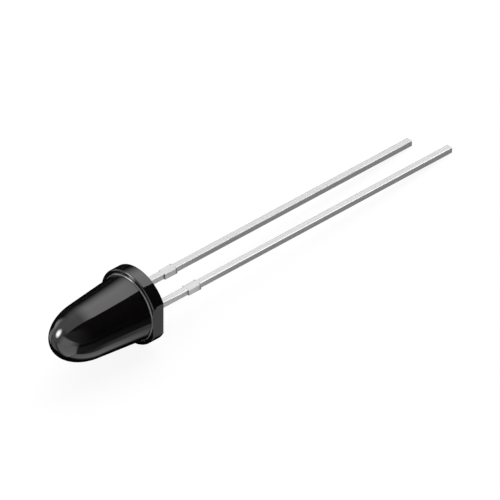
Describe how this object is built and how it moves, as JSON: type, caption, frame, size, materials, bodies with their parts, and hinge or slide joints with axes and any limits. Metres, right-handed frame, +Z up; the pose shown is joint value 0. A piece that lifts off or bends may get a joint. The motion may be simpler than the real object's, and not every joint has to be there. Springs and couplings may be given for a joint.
{
  "type": "infrared light-emitting diode",
  "caption": "Through-hole infrared emitter: a domed black epoxy body with a flanged base that has a flat on one side, on a pair of long flat leads.",
  "frame": {"origin": "centre of the seating face, the flat back of the flange, where the optical axis crosses it", "axes": "+Z up from the table that the loose part lies on; the optical axis points towards -Y and 5.47 degrees up; +X is on the side of the flat of the flange"},
  "size_m": [0.0056, 0.037, 0.0059],
  "materials": {
    "black_epoxy": "cast, glossy, opaque to light that can be seen",
    "tinned_steel": "rolled strip with a bright tin coat",
    "silver_epoxy": "matt paste, cured",
    "emitter_crystal": "sawn sides, polished top",
    "gold": "drawn, bright"
  },
  "bodies": {
    "root": {"lens_body": "black_epoxy", "short_lead": "tinned_steel", "long_lead": "tinned_steel", "die_attach": "silver_epoxy", "emitter_die": "emitter_crystal", "bond_wire": "gold"}
  },
  "joints": []
}
